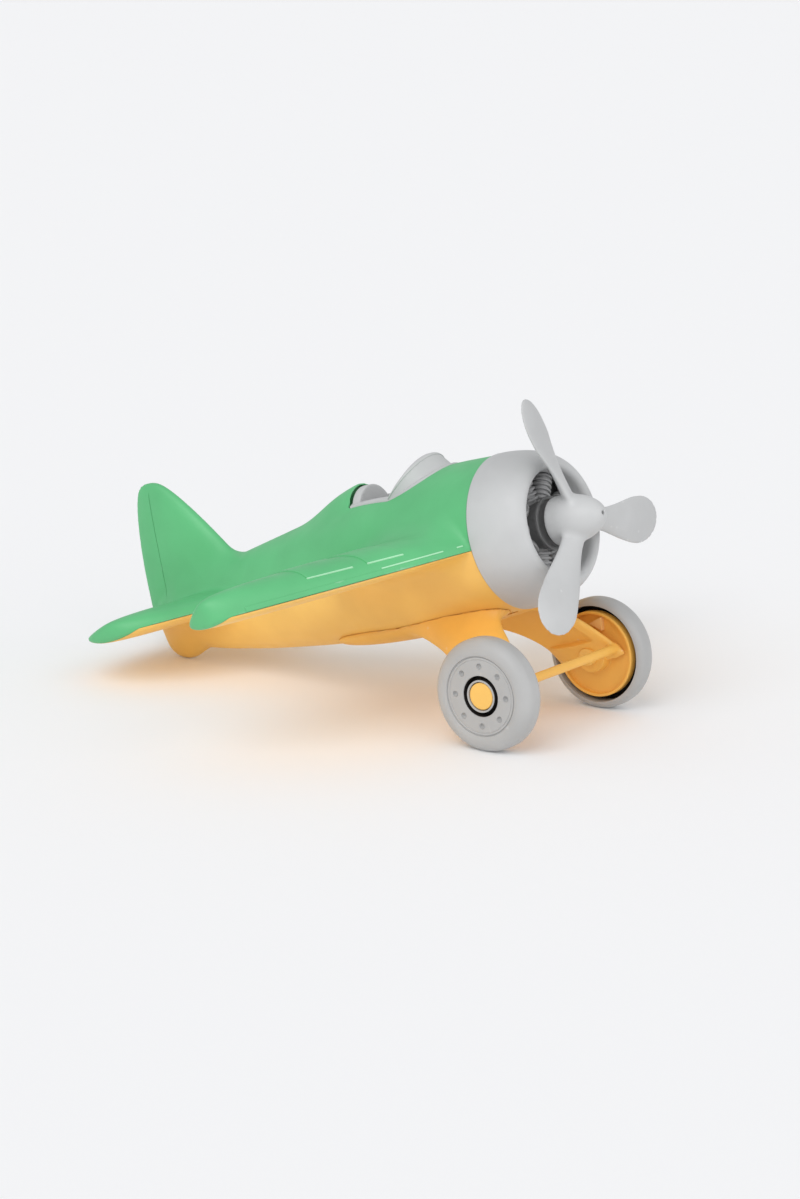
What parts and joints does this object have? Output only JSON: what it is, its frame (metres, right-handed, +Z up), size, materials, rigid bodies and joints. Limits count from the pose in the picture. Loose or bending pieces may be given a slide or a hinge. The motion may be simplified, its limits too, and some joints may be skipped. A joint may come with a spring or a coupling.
{
  "type": "toy airplane",
  "caption": "Low-wing toy airplane with an open cockpit, a spinning propeller, two rolling wheels and a tail skid.",
  "frame": {"origin": "middle of the underside of the toy's bounding box, on the floor that it stands on", "axes": "+X forwards to the nose, +Y to the left wing tip, +Z up; the airframe stands 17.6 degrees nose-up on its wheels and skid"},
  "size_m": [0.2152, 0.232, 0.1225],
  "materials": {
    "green_shell": "fine moulded satin",
    "yellow_shell": "fine moulded satin",
    "cowl_grey": "smooth satin",
    "engine_grey": "smooth satin",
    "propeller_grey": "smooth satin",
    "cockpit_grey": "smooth satin",
    "wheel_grey": "fine matte",
    "pin_yellow": "smooth satin"
  },
  "bodies": {
    "airframe": {"upper_shell": "green_shell", "lower_shell": "yellow_shell", "landing_gear": "yellow_shell", "cockpit": "cockpit_grey", "cowl": "cowl_grey", "radial_engine": "engine_grey", "left_axle_pin": "pin_yellow", "right_axle_pin": "pin_yellow"},
    "propeller": {"propeller": "propeller_grey", "propeller_shaft": "propeller_grey", "shaft_retainer": "propeller_grey"},
    "left_wheel": {"left_wheel": "wheel_grey"},
    "right_wheel": {"right_wheel": "wheel_grey"}
  },
  "joints": [
    {"name": "propeller_spin", "type": "hinge", "parent": "airframe", "child": "propeller", "pos_m": [0.09465, 0, 0.07923], "axis": [0.9532, 0, 0.3024], "continuous": true},
    {"name": "left_wheel_spin", "type": "hinge", "parent": "airframe", "child": "left_wheel", "pos_m": [0.08158, 0.0365, 0.02053], "axis": [0, 1, 0], "continuous": true},
    {"name": "right_wheel_spin", "type": "hinge", "parent": "airframe", "child": "right_wheel", "pos_m": [0.08158, -0.0365, 0.02053], "axis": [0, 1, 0], "continuous": true}
  ]
}
